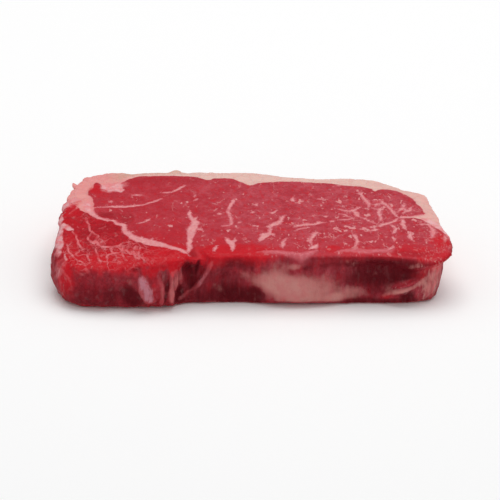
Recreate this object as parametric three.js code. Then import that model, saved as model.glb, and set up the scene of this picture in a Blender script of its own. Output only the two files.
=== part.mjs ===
// Raw sirloin (strip loin) steak, one solid, in millimetres.
// It lies flat on its lower cut face: +X runs along the steak towards the narrower end, +Y towards the
// fat cap, +Z up through the thickness. The origin is the middle of its bounding box, at the base.

import * as THREE from 'three';
import { mergeVertices } from 'three/addons/utils/BufferGeometryUtils.js';

// ---------- driving dimensions ----------
const THICKNESS = 25; // height of the upper cut face
const FOOT_ROUND = 3.5; // rounding where the sides turn under
const SIDE_SWELL = 1.3; // how far the side bellies out half way up
const LIP_DROP = 4; // height of the lip that overhangs at the narrow end
const FULL_LIP = 5; // overhang under which the side has no belly left
const RELIEF_STARTS = 1.5; // relief of the sides starts this many edge radii below the upper face

const FRONT_FACING = [0.25, 0.75]; // how squarely a side must face the front to carry its relief
const BACK_FACING = [0.2, 0.8];

const COLUMNS = 200; // around the outline, an even number
const FRONT_FINER = 1.0; // how much closer than elsewhere the columns of the front stand
const TOP_RINGS = 9;
const TOP_CROWDING = 1.3; // how much the rings of the upper face crowd towards its rim
const ROUND_RINGS = 3;
const SIDE_RINGS = 10;
const FOOT_RINGS = 2;
const BASE_RINGS = 2;
const CURVE_DIVISIONS = 2000;

const SPINE_INSET = 0.21; // both faces fan out from the chord between the ends, less this share at each end

// Stations round the upper edge, anticlockwise from above, starting at the narrow end. x and y are where
// the side stands furthest out, foot is how far in it has come at the base, round is the edge's radius,
// and lip is how far the edge overhangs the side.
const OUTLINE = [
  { name: 'narrow end', x: 86.8, y: -5, foot: 6, round: 2.4, lip: 1.4 },
  { name: 'narrow end, upper', x: 84.6, y: 12, foot: 5, round: 2.2, lip: 0.6 },
  { name: 'back corner of the cap', x: 82.4, y: 23.0, foot: 4.5, round: 1.8, lip: 0.4 },
  { name: 'cap, trimmed corner', x: 73.5, y: 28.8, foot: 3, round: 2, lip: 0 },
  { name: 'cap, below the shoulder', x: 67.2, y: 34.0, foot: 3.5, round: 2, lip: 0 },
  { name: 'cap, shoulder', x: 61.5, y: 38.8, foot: 4, round: 2, lip: 0 },
  { name: 'cap, crest', x: 45.0, y: 40.9, foot: 4, round: 2.2, lip: 0 },
  { name: 'cap, thin stretch', x: 26.0, y: 41.0, foot: 4, round: 2.4, lip: 0 },
  { name: 'cap over the notch', x: 7.0, y: 46.0, foot: 4.5, round: 2.6, lip: 0 },
  { name: 'cap, highest', x: -20.0, y: 49.0, foot: 5, round: 2.8, lip: 0 },
  { name: 'cap, wide end', x: -46.0, y: 47.8, foot: 5, round: 2.8, lip: 0 },
  { name: 'cap, dip', x: -57.5, y: 45.6, foot: 4.5, round: 2.6, lip: 0 },
  { name: 'wide corner', x: -66.0, y: 46.6, foot: 5, round: 2.4, lip: 0.6 },
  { name: 'wide corner, turn', x: -71.8, y: 44.4, foot: 5, round: 2.2, lip: 1.2 },
  { name: 'wide corner, tip', x: -76.4, y: 37.8, foot: 5, round: 2.2, lip: 1.2 },
  { name: 'wide corner, side', x: -78.6, y: 29.0, foot: 4, round: 2.6, lip: 0.4 },
  { name: 'wide end, upper', x: -82.8, y: 11.0, foot: 3, round: 3, lip: 0 },
  { name: 'wide end', x: -86.2, y: -11.0, foot: 2.5, round: 3.6, lip: 0 },
  { name: 'lobe, outer', x: -88.7, y: -28.0, foot: 2.5, round: 5.5, lip: 0 },
  { name: 'lobe, corner', x: -81.5, y: -42.6, foot: 2, round: 8, lip: 0 },
  { name: 'lobe, front', x: -58.0, y: -46.6, foot: 1.5, round: 7.5, lip: 0 },
  { name: 'lobe, end', x: -36.0, y: -44.2, foot: 0.5, round: 5, lip: 0 },
  { name: 'cleft', x: -25.0, y: -41.2, foot: -0.5, round: 3.6, lip: 0.4 },
  { name: 'front, middle', x: 0.0, y: -41.5, foot: -1, round: 3.4, lip: 1 },
  { name: 'front', x: 40.0, y: -41.8, foot: -1, round: 3.4, lip: 1 },
  { name: 'front, narrow end', x: 70.0, y: -42.4, foot: 0, round: 3.4, lip: 1.6 },
  { name: 'narrow corner', x: 82.5, y: -41.2, foot: 3.4, round: 3, lip: 2.8 },
  { name: 'narrow corner, tip', x: 88.6, y: -35.0, foot: 6, round: 2.6, lip: 4 },
  { name: 'narrow end, lip', x: 90.3, y: -23.0, foot: 7, round: 2.4, lip: 4 },
];
const WIDE_END = 17; // the station where the front half begins

// Swellings and hollows of the upper face: centre, half widths, and height.
const TOP_FORMS = [
  { name: 'crown of the eye', x: 22, y: 4, across: 46, along: 26, out: 0.9 },
  { name: 'lobe falls away', x: -80, y: -44, across: 26, along: 19, out: -5.2 },
  { name: 'lobe muscle', x: -66, y: -20, across: 11, along: 10, out: 0.8 },
  { name: 'wide corner sinks', x: -78, y: 42, across: 10, along: 11, out: -1.6 },
  { name: 'narrow corner sinks', x: 88, y: -40, across: 15, along: 11, out: -2.4 },
  { name: 'valley of the cross seam', x: -26, y: -18, across: 4, along: 20, out: -1.0 },
  { name: 'dip along the thick seam', x: -58, y: -3, across: 14, along: 7, out: -0.7 },
  { name: 'swell behind the notch', x: 6, y: 30, across: 20, along: 10, out: 0.5 },
  { name: 'cleft mouth', x: -24.5, y: -42, across: 4, along: 7, out: -2.6 },
  { name: 'front edge slump', x: 30, y: -44, across: 40, along: 8, out: -1.0 },
];

// Swellings and hollows of the front side: centre along X and Z, half widths, depth, and lean, which is
// how far the form moves along X for each millimetre that it climbs.
const FRONT_FORMS = [
  { name: 'cleft', x: -25.5, y: 14, across: 2.4, along: 10, out: -6.5, lean: 0.12 },
  { name: 'dark pocket', x: -31, y: 10, across: 2.8, along: 7.5, out: -4.4, lean: 0 },
  { name: 'hanging strand', x: -36.5, y: 7, across: 2.1, along: 9, out: 2.4, lean: 0.06 },
  { name: 'gap between strands', x: -39.6, y: 9, across: 1.3, along: 7, out: -1.6, lean: 0.05 },
  { name: 'second strand', x: -42.8, y: 7, across: 1.9, along: 8, out: 1.5, lean: 0 },
  { name: 'gap by the tab', x: -45.6, y: 10, across: 1.4, along: 7, out: -1.7, lean: -0.2 },
  { name: 'silverskin tab', x: -50, y: 9, across: 3.2, along: 6, out: 2.3, lean: -0.45 },
  { name: 'hollow beside the tab', x: -57, y: 12, across: 4.5, along: 6, out: -2.2, lean: -0.3 },
  { name: 'lobe belly', x: -73, y: 11, across: 11, along: 7, out: 1.2, lean: 0 },
  { name: 'nub by the cleft', x: -17, y: 19.5, across: 4, along: 3.2, out: 2.0, lean: 0 },
  { name: 'membrane ridge', x: -18.5, y: 11, across: 1.9, along: 8, out: 1.6, lean: 0.6 },
  { name: 'hollow under the eye', x: -8, y: 8, across: 7.5, along: 9, out: -5.6, lean: -0.2 },
  { name: 'fat pad', x: 19, y: 8, across: 13, along: 7, out: 2.6, lean: -0.6 },
  { name: 'fat bead', x: 19, y: 19.5, across: 2.4, along: 1.8, out: 1.4, lean: 0 },
  { name: 'dimple of the pad', x: 31, y: 15, across: 6, along: 3, out: -1.8, lean: 0 },
  { name: 'long hollow', x: 54, y: 11, across: 11, along: 7.5, out: -5.4, lean: 0.5 },
  { name: 'slanting fold', x: 67, y: 8, across: 5.5, along: 2.6, out: 3.8, lean: 1.4 },
  { name: 'membrane shelf', x: 73, y: 18.5, across: 6.5, along: 1.7, out: 2.0, lean: 0 },
  { name: 'hollow under the shelf', x: 76, y: 13.5, across: 5, along: 2.4, out: -1.8, lean: 0.4 },
  { name: 'hollow under the fold', x: 72, y: 2.5, across: 8, along: 2.6, out: -1.8, lean: 0.6 },
];

// Low waves that the saw left in the upper face: millimetres of X and of Y to a radian, and height.
const SAW_WAVES = [
  { x: 8, y: 55, height: 0.2 },
  { x: -14, y: 17, height: 0.2 },
];

// Long soft waves of the fat cap on the back, which the knife left uneven.
const CAP_WAVES = [
  { length: 47, rise: 0.3, depth: 0.7 },
  { length: 21, rise: -0.5, depth: 0.4 },
];

// ---------- helpers ----------
const smooth = (low, high, value) => THREE.MathUtils.smoothstep(value, low, high);

// A soft round form of height out at (form.x, form.y), leaning by form.lean.
function swelling(form, x, y) {
  const dx = (x - form.x - (form.lean ?? 0) * (y - form.y)) / form.across;
  const dy = (y - form.y) / form.along;
  return form.out * Math.exp(-(dx * dx + dy * dy) / 2);
}

const total = (forms, x, y) => forms.reduce((sum, form) => sum + swelling(form, x, y), 0);

const closedCurve = (toPoint) => new THREE.CatmullRomCurve3(OUTLINE.map(toPoint), true, 'centripetal');

// ---------- outline ----------
const edgeCurve = closedCurve((s) => new THREE.Vector3(s.x, s.y, 0));
const habitCurve = closedCurve((s) => new THREE.Vector3(s.foot, s.round, s.lip));

// A place on the outline, t of the way round: its edge, the way out of the side, its habit, and the rim
// where the upper face starts to round over.
function columnAt(t) {
  const edge = edgeCurve.getPoint(t);
  const tangent = edgeCurve.getTangent(t);
  const outward = new THREE.Vector3(tangent.y, -tangent.x, 0).normalize();
  const [foot, round, lip] = habitCurve.getPoint(t).toArray();
  return { edge, outward, foot, round, lip, rim: edge.clone().addScaledVector(outward, -round) };
}

// The same number of steps from the narrow end to the wide end along the cap as back along the front.
function stepsAround() {
  const samples = edgeCurve.getPoints(CURVE_DIVISIONS);
  const reach = [0]; // distance so far, with the front counting for more
  for (let i = 1; i <= CURVE_DIVISIONS; i++) {
    const step = samples[i].clone().sub(samples[i - 1]);
    const length = step.length();
    reach.push(reach[i - 1] + length * (1 + FRONT_FINER * smooth(...FRONT_FACING, step.x / length)));
  }
  const atWideEnd = reach[Math.round((WIDE_END / OUTLINE.length) * CURVE_DIVISIONS)];
  const atEnd = reach[CURVE_DIVISIONS];
  const half = COLUMNS / 2;
  const ends = [0, WIDE_END].map((station) => columnAt(station / OUTLINE.length).rim);
  let sample = 0;
  return Array.from({ length: COLUMNS }, (_, i) => {
    const wanted = i <= half
      ? (i / half) * atWideEnd
      : THREE.MathUtils.lerp(atWideEnd, atEnd, (i - half) / half);
    while (reach[sample + 1] < wanted) sample++;
    const between = (wanted - reach[sample]) / (reach[sample + 1] - reach[sample]);
    const along = THREE.MathUtils.lerp(SPINE_INSET, 1 - SPINE_INSET, Math.min(i, COLUMNS - i) / half);
    return { ...columnAt((sample + between) / CURVE_DIVISIONS), inner: ends[0].clone().lerp(ends[1], along) };
  });
}

// ---------- surface ----------
function topHeight(x, y) {
  const sawWave = SAW_WAVES.reduce((sum, w) => sum + w.height * Math.sin(x / w.x + y / w.y), 0);
  return THICKNESS + total(TOP_FORMS, x, y) + sawWave;
}

// How far the relief of the sides stands out at a place, by the way that the side faces.
function sideRelief(place, outward, height) {
  const facesFront = smooth(...FRONT_FACING, -outward.y);
  const facesBack = smooth(...BACK_FACING, outward.y);
  const waves = CAP_WAVES.reduce(
    (sum, w) => sum + w.depth * Math.sin(place.x * 2 * Math.PI / w.length + height * w.rise), 0);
  return facesFront * total(FRONT_FORMS, place.x, height) + facesBack * waves;
}

// One line of points from the spine over the upper face, down the side and back under to the spine.
function section({ edge, outward, foot, round, lip, rim, inner }) {
  const points = [];
  for (let k = 0; k <= TOP_RINGS; k++) {
    const share = 1 - (1 - k / TOP_RINGS) ** TOP_CROWDING;
    const p = inner.clone().lerp(rim, share);
    p.z = topHeight(p.x, p.y);
    points.push(p);
  }

  const rimHeight = topHeight(rim.x, rim.y);
  const sideTop = rimHeight - round;
  const placeOnSide = (height, inset) => {
    const p = edge.clone().addScaledVector(outward, -inset);
    p.z = height;
    const belowRim = 1 - smooth(rimHeight - round * RELIEF_STARTS, rimHeight, height);
    const fade = smooth(0, FOOT_ROUND, height) * belowRim;
    return p.addScaledVector(outward, fade * sideRelief(p, outward, height));
  };
  for (let k = 1; k <= ROUND_RINGS; k++) {
    const angle = (k / ROUND_RINGS) * Math.PI / 2;
    points.push(placeOnSide(sideTop + round * Math.cos(angle), round * (1 - Math.sin(angle))));
  }

  // The side comes in below the lip, bellies out and draws in towards the foot.
  const inset = (height) => {
    const down = 1 - height / sideTop;
    const belly = SIDE_SWELL * Math.sin(Math.PI * down) * (1 - lip / FULL_LIP);
    return lip * smooth(0, LIP_DROP, sideTop - height) + (foot - lip) * down ** 2 - belly;
  };
  for (let k = 1; k <= SIDE_RINGS; k++) {
    const height = THREE.MathUtils.lerp(sideTop, FOOT_ROUND, k / SIDE_RINGS);
    points.push(placeOnSide(height, inset(height)));
  }

  const footInset = inset(FOOT_ROUND);
  for (let k = 1; k <= FOOT_RINGS; k++) {
    const angle = (k / FOOT_RINGS) * Math.PI / 2;
    const height = FOOT_ROUND * (1 - Math.sin(angle));
    points.push(placeOnSide(height, footInset + FOOT_ROUND * (1 - Math.cos(angle))));
  }

  const sole = points[points.length - 1].clone();
  const innerBase = inner.clone().setZ(0);
  for (let k = 1; k <= BASE_RINGS; k++) {
    points.push(sole.clone().lerp(innerBase, k / BASE_RINGS));
  }
  return points;
}

// ---------- solid ----------
function steakGeometry() {
  const sections = stepsAround().map(section);
  const box = new THREE.Box3().setFromPoints(sections.flat());
  const middle = box.getCenter(new THREE.Vector3()).setZ(box.min.z);
  const rows = sections[0].length;
  const positions = sections.flat().flatMap((p) => p.clone().sub(middle).toArray());
  const index = [];
  const half = COLUMNS / 2;
  for (let i = 0; i < COLUMNS; i++) {
    const here = i * rows;
    const next = ((i + 1) % COLUMNS) * rows;
    // The diagonal turns half way along each side, and at the base, so that no triangle lies flat along the
    // chord.
    const leavesEnd = (i % half) < half / 2;
    for (let k = 0; k < rows - 1; k++) {
      const onBase = k >= rows - 1 - BASE_RINGS;
      const [a, b, c, d] = [here + k, here + k + 1, next + k + 1, next + k];
      index.push(...(leavesEnd !== onBase ? [a, b, c, a, c, d] : [a, b, d, b, c, d]));
    }
  }
  const loose = new THREE.BufferGeometry();
  loose.setAttribute('position', new THREE.Float32BufferAttribute(positions, 3));
  loose.setIndex(index);
  const solid = mergeVertices(loose, 1e-3);
  solid.setIndex(withoutSlivers(solid.getIndex().array));
  solid.computeVertexNormals();
  return solid;
}

// Drops the triangles that the merge has folded onto a single edge.
function withoutSlivers(index) {
  const kept = [];
  for (let i = 0; i < index.length; i += 3) {
    const [a, b, c] = index.slice(i, i + 3);
    if (a !== b && b !== c && c !== a) kept.push(a, b, c);
  }
  return kept;
}

const rawMeat = new THREE.MeshStandardMaterial({ color: 0xb23a44, roughness: 0.38, metalness: 0 });
rawMeat.name = 'raw meat';

const steak = new THREE.Mesh(steakGeometry(), rawMeat);
steak.name = 'steak';

const part = new THREE.Group();
part.add(steak);

export default part;
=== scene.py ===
"""Raw sirloin steak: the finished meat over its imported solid, with a plain studio.

Lists of places are in millimetres, in the frame of the solid: +X along the steak towards its narrow
end, +Y towards the fat cap, +Z up through the thickness, with the base at zero.
"""

import math

import bmesh
import bpy
import numpy as np
from bpy.props import FloatProperty, FloatVectorProperty, IntProperty, PointerProperty
from mathutils import Matrix, Vector, noise
from mathutils.bvhtree import BVHTree


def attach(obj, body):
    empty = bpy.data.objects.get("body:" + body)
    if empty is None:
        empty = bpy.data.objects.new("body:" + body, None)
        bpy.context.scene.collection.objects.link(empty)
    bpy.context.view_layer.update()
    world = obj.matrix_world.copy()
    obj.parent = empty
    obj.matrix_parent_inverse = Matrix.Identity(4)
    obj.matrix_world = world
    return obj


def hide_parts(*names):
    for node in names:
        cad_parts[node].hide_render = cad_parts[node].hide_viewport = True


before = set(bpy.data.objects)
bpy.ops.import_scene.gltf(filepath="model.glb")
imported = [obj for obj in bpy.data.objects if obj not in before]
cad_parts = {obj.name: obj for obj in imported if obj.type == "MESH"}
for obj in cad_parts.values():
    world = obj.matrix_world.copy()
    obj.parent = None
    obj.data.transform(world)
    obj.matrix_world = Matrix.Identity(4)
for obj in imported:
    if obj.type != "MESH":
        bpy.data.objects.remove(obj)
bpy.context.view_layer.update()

bl_info = {
    "name": "Raw Sirloin Steak",
    "version": (1, 0, 0),
    "blender": (4, 5, 0),
    "location": "3D View > Sidebar > Steak",
    "description": "Makes a raw sirloin steak with its fat cap, seams and marbling, and a plain studio",
    "category": "Add Mesh",
}

SOLID = "steak"
PIECE = "raw_steak"
BODY = "root"
MM = 0.001

# In millimetres:
FAR = 6.0  # a line further off than this is not measured
TOP = 24  # height at which the places on the cut faces are given
BEFORE_FRONT = -80  # a place on Y that is clear of the front
HOLLOW_DEPTH = 0.5  # how far the hollows of the front go in; their dark colour is painted shade
SHADE_DEPTH = 0.25  # how far the furrows of the cut face go in
# The size of the waves of each wobble, and its reach. Its place in this list is added to the seed.
WOBBLES = {
    "soft": (7, 1.2), "small": (2.6, 0.8), "fine": (1.2, 0.55), "corner": (20, 16), "rags": (2.4, 2.4),
    "muscle": (13, 11)}

LINE_STEPS = 4  # straight pieces between two places of a smooth line
STRAND_SIDES = 10  # faces round a strand
FLATNESS = 0.7  # how thick a strand on the front is for its width


# ---------- places on the cut faces ----------
# The line where the fat cap meets the lean, from the wide end to the narrow end.
CAP_LINE = [
    (-84, 17), (-82, 16), (-78, 9), (-75, 4), (-72.5, 2.5), (-70.5, 5), (-70, 10), (-70.3, 17), (-71.8, 21),
    (-71.5, 26), (-69.5, 29), (-69.5, 33), (-67.5, 36), (-65.5, 33), (-64, 27), (-60, 27), (-57, 24),
    (-56, 27), (-57, 33), (-55, 35.5), (-52, 38), (-48, 40), (-40, 41), (-30, 41.5), (-24, 41), (-20, 39.5),
    (-18, 36.8), (-16, 36.5), (-13, 38), (-8, 37.5), (-5, 36), (-2, 33), (0, 30.5), (2, 28.2), (4, 29),
    (8, 31), (14, 32.5), (20, 33.3), (28, 33.5), (36, 33), (42, 31.8), (48, 30), (54, 28.5), (58, 26),
    (59.7, 23), (61.5, 25), (65, 25.5), (69, 24), (73, 20.5), (76, 16), (78, 10), (79.5, 4), (79.8, -1),
    (76, -3.5), (71, -5), (76, -5.5), (79, -8), (82, -12), (85, -16), (87.5, -20), (91, -24)
]
# The rest of the rings round the cap and round the soft lobe, clear of the steak.
BEHIND_CAP = [(112, -24), (112, 72), (-112, 72), (-112, 14)]
BELOW_LOBE = [(-27, -70), (-112, -70), (-112, 2)]

# Seams of fat between the muscles and the marbling in them: x, y and half width along each.
SEAMS = {
    "thick seam": [
        (-73.5, 8, 1.6), (-71.4, 3.6, 1.6), (-69, -0.5, 1.2), (-66, -3, 0.8), (-62, -4.5, 0.6),
        (-60, -7.5, 0.9), (-57, -9, 1.1), (-56.5, -13, 1.1), (-56.5, -16, 1.2), (-55, -19.5, 1.5),
        (-53, -22.5, 1.7), (-49, -25.5, 2.1), (-45, -28, 2.2), (-41, -30, 1.8), (-38, -32.5, 1.3),
        (-34, -34.5, 1.1), (-31, -36, 1), (-29, -38, 0.8)],
    "spike on the thick seam": [(-49.5, -25, 1), (-49.2, -22, 0.3)],
    "second spike": [(-46, -27.5, 1), (-45, -24.2, 0.3)],
    "cross seam": [
        (-26.4, 4, 0.4), (-27, 0.5, 0.9), (-26.6, -3, 1.1), (-25.4, -6, 1.3), (-25, -10, 1.7),
        (-26.2, -14, 2.1), (-27, -18, 1.9), (-28, -23, 1.4), (-28.3, -28, 1.2), (-28.8, -33, 1.1),
        (-30.2, -36, 0.9)],
    "upper spike on the cross seam": [(-25.4, -6, 0.8), (-24, -4, 0.6), (-23.2, -3.4, 0.3)],
    "lower spike on the cross seam": [(-25, -14, 1.2), (-22.8, -16, 0.7), (-22.2, -18, 0.4)],
    "foot of the cross seam": [(-30, -35.4, 0.8), (-33.4, -35.6, 0.5)],
    "thin arc": [
        (-69, 8, 0.3), (-63, 8.6, 0.4), (-59, 8.7, 0.9), (-55, 8.4, 0.8), (-51, 9.5, 0.5), (-46.6, 10, 0.4),
        (-44.5, 11.5, 0.8), (-42, 13, 0.5), (-38.5, 15.5, 0.3)],
    "hook in the eye": [
        (-5.5, 14, 0.4), (-7.5, 9, 0.9), (-8.7, 5, 0.5), (-8.9, -2, 0.4), (-8.5, -8, 0.5), (-9, -12, 0.3),
        (-12.5, -13, 0.7)],
    "front seam, left": [
        (-12.8, -23.6, 0.4), (-11.2, -26, 0.9), (-10.2, -28.8, 1.7), (-9.4, -31.4, 1.5), (-9.6, -34.4, 0.9),
        (-10, -37, 0.6)],
    "its branch": [(-7.4, -25.2, 0.3), (-8.4, -28, 0.8), (-9.4, -30, 0.9)],
    "diagonal, upper": [(12.8, 2.6, 0.5), (11.4, 0, 0.7), (10.4, -1.6, 0.7)],
    "twig beside it": [(9.4, 0.4, 0.3), (10.6, -1.6, 0.6)],
    "diagonal": [
        (16.2, -3, 0.9), (15.2, -4.4, 0.9), (14.4, -7, 0.6), (13.4, -9, 1.1), (11.8, -11.4, 1.5),
        (9.6, -13, 1.2), (8.6, -15.4, 0.5), (8.2, -18.6, 0.6), (7.6, -21, 1.3), (5.8, -22.8, 1.9),
        (4.4, -24.6, 1.6), (3.2, -27, 1.1), (2.2, -28.8, 0.5)],
    "lower lobe of the diagonal": [(7.8, -21.6, 1), (9.4, -22.4, 0.7), (9.8, -24.4, 0.4)],
    "left twig of the diagonal": [(5.4, -21.4, 0.8), (3, -21.8, 0.4)],
    "end of the front edge seam": [
        (24.4, -36.6, 0.9), (26, -34.8, 1.4), (28, -32.8, 1.3), (28.8, -31, 0.6)],
    "riser from the front edge": [
        (25.8, -33, 0.8), (25.5, -29, 0.6), (26.3, -25.4, 0.7), (27.8, -22, 0.9), (29.6, -20.8, 0.8),
        (31.2, -21.6, 0.5)],
    "short riser": [(24, -26, 0.5), (25.5, -29, 0.6)],
    "forked riser": [(12.5, -35, 0.8), (12.8, -32, 0.7), (13.5, -29, 0.6), (15, -26.5, 0.7)],
    "end of the right edge seam": [(58, -35.4, 0.5), (61, -34.6, 0.9), (62.4, -32.4, 0.5)],
    "riser on the right": [(46, -33, 0.6), (46.3, -28, 0.8), (45.8, -24, 0.8), (45, -21, 0.5)],
    "knot to the cap": [(67.5, -6, 1.2), (71, -4.5, 0.8), (75, -4, 0.8), (79, -2.5, 1.2), (84, -3, 2)],
    "knot to the left": [(67.5, -6, 1), (65, -9, 0.8), (62, -11.5, 0.8), (59, -13, 1.2), (58, -15, 1)],
    "knot upwards": [
        (67.5, -6, 0.8), (66, -1, 0.7), (64.5, 4, 0.7), (63, 8, 0.8), (61.5, 12, 0.6), (60.5, 14, 0.4)],
    "twig of the knot": [(61.5, 9, 0.6), (58.8, 9, 0.6), (58.5, 6, 0.5)],
    "parallel vein": [(59.5, 4, 0.8), (59.2, 0, 0.9), (59, -5, 0.8), (58.8, -9, 0.6)],
    "its twigs": [(56.5, 5, 0.6), (58.5, 3.5, 0.7), (60, 3, 0.6), (62, 5, 0.5)],
    "knot downwards": [(69.5, -6, 0.8), (69.3, -10, 0.8), (69, -15, 1), (69.3, -17.5, 0.6)],
    "vein on the right": [(71.5, -19, 0.7), (71, -24, 1.1), (71.5, -27, 0.8)],
    "comma": [(46, 2.5, 0.6), (48.5, 0.5, 0.9), (49, -3, 1), (50.5, -6, 0.7)],
    "small comma": [(41, -1.5, 0.5), (43, -2, 0.8), (45.5, -5, 0.6)],
    "zigzag": [
        (67.8, 0.2, 0.5), (69.4, 2.6, 0.7), (70.6, 4.4, 0.6), (72.2, 1.6, 0.8), (74, 4.6, 0.6),
        (74.8, 6.8, 0.4)],
    "stem of the zigzag": [(71.6, 10.6, 0.4), (70.8, 7, 0.5), (70.8, 4, 0.6)],
    "vein under the cap": [
        (52, 23.4, 0.3), (53, 20, 0.7), (54.2, 14, 0.8), (55.4, 8.8, 0.5), (54.6, 5, 0.4)],
    "twigs under the cap": [(50.6, 21, 0.3), (52.8, 20.6, 0.6), (54.4, 22.6, 0.3)],
    "left of the comma": [
        (40.6, 4.4, 0.5), (43.4, 2.6, 0.5), (46.4, 2.4, 0.7), (49.8, 4.4, 0.5), (51.6, 5.4, 0.3)],
    "link to the parallel vein": [(50.4, -4.6, 0.6), (53.4, -8.4, 0.4), (56.8, -11.8, 0.4)],
    "below the knot": [(62, -11.4, 0.5), (64.8, -15, 0.6), (64, -19.4, 0.7), (62.4, -22, 0.4)],
    "right row": [(46.8, -5.2, 0.5), (43.8, -7.2, 0.6), (39.4, -7.4, 0.5)],
    "middle row": [
        (19.2, -14.6, 0.7), (23, -12.8, 0.7), (28.6, -11.8, 0.6), (31, -10, 0.9), (34, -9.6, 0.5)],
    "low row": [(26.6, -14.6, 0.6), (22.4, -16.6, 0.4), (19.8, -19, 0.6)],
    "chips on the right": [(53.6, -15.2, 0.9), (55, -14.6, 0.5)],
    "chip, far right": [(80.4, -12.4, 0.7), (82, -16, 0.5), (81.6, -20, 0.6), (80, -24, 0.4)],
    "chip above the knot": [(69.8, -1.4, 0.4), (71.6, 0.6, 0.5)],
    "low vein": [(63, -24, 0.6), (63.5, -29, 0.8)],
    "stitch": [(33.5, -3.5, 1.1), (35, -3.2, 0.7)],
    "fleck pair": [(38, -8, 1.2), (36, -9, 0.7)],
    "fleck by the pair": [(30, -10.5, 1.2), (32, -9.6, 0.5)],
    "fleck": [(25, -11.5, 0.8), (26.5, -11, 0.5)],
    "dash": [(20, -13.5, 0.8), (24, -12.5, 0.9)],
    "low fleck": [(38, -17.5, 0.8), (38.8, -16.8, 0.6)],
    "right fleck": [(54, -18, 1.2), (57, -17.4, 0.8)],
    "far fleck": [(77, -12, 0.8), (78, -11, 0.6)],
    "upper fleck": [(43, 7, 0.8), (44, 7.6, 0.5)],
    "bright fleck": [(21, 16, 0.9), (21.2, 12, 1)],
    "faint fleck": [(32.5, 15.5, 1), (35, 15.8, 0.5)],
    "fleck in the eye": [(1, 0, 1), (2.5, 0.2, 0.6)],
    "round fleck": [(-13.3, -0.5, 1), (-13.2, -0.9, 0.9)],
    "fleck, lower eye": [(1.5, -13.5, 0.9), (3, -13.2, 0.5)],
    "fleck, left eye": [(-4.5, -9.5, 0.9), (-5.5, -9.8, 0.5)],
    "fleck, upper eye": [(3.8, 7.5, 0.8), (4, 8.2, 0.5)],
    "wide end fleck": [(-62, 13, 0.6), (-61.5, 15, 0.8)],
    "star": [(-47, -8, 1), (-45, -4.5, 0.4)],
    "arm of the star": [(-50, -8.5, 0.3), (-47, -8, 0.8)],
    "streak": [(-34, 23, 0.7), (-30, 27, 0.7), (-27, 31, 0.5)],
    "beside the streak": [(-38.5, 22, 0.6), (-34, 23, 0.6)],
    "twig in the middle": [(-24, 13.5, 0.7), (-22, 15.5, 0.4)],
    "cut across the eye": [(-17, -32, 0.5), (-17.5, -36, 0.6)],
    "white tip": [(-23.5, 21, 0.6), (-23.6, 17, 0.3)],
    "row of specks": [(-52, 20, 0.5), (-46, 20, 0.6)],
}

# Soft rolls of salmon tissue along the front edge.
ROLLS = {
    "front edge": [
        (1, -38.6, 0.7), (6, -38.8, 1.1), (12, -39.4, 1.2), (17, -40.4, 1.2), (21, -40.8, 1.4),
        (25, -39.4, 1.4), (27.6, -37.4, 1)],
    "right edge": [
        (36, -39, 0.9), (42, -37.6, 1.5), (48, -37.8, 1.6), (53, -37.6, 1.4), (59, -37.4, 1.2),
        (62, -35.4, 0.7)],
}

# Creases of the lean, pressed in a little and darkened with painted shade.
CREASES = {
    "by the thick seam": [(-67.5, 4.6, 0.3), (-64, 2, 0.8), (-60.5, -1.4, 0.8), (-57.6, -4.4, 0.3)],
    "beside it": [(-61.6, 3.6, 0.3), (-58.6, 1.2, 0.6), (-56, -2.6, 0.5), (-54.6, -6, 0.3)],
    "third": [(-54, 3, 0.3), (-53, -1, 0.5), (-52.6, -6, 0.3)],
    "at the cleft": [(-26.4, -31, 0.4), (-26.6, -35, 0.9), (-26.2, -38, 1)],
    "in the red corner": [(-86, -2.6, 0.4), (-82, -2, 0.6), (-78, -4.4, 0.5), (-75.4, -8, 0.3)],
}

# Folds of thin pale skin at the two ends.
FOLDS = {
    "wedge": [(-86, -5, 0.6), (-84, -9, 1.5), (-81.6, -12.6, 1.5), (-79.4, -15, 0.4)],
    "edge of the wide end": [
        (-84.4, 3, 0.7), (-85.2, -4, 1.1), (-86.2, -12, 1.8), (-86.8, -19, 2.2), (-87.3, -26, 2.1),
        (-87.6, -32, 1.2)],
    "its lower strand": [(-85, -29, 0.3), (-84.2, -34, 0.6), (-82.6, -38, 0.5), (-80, -42, 0.3)],
    "edge of the narrow end": [
        (77.6, -4.4, 1), (80.4, -6.6, 1.4), (83.4, -10, 1.6), (86.4, -15, 1.7), (89, -19.6, 1.7),
        (90.6, -26, 1.2)],
    "inner skin of the narrow end": [(79.6, -10.4, 0.2), (81.2, -13, 0.6), (82.2, -16.6, 0.2)],
}

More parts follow.
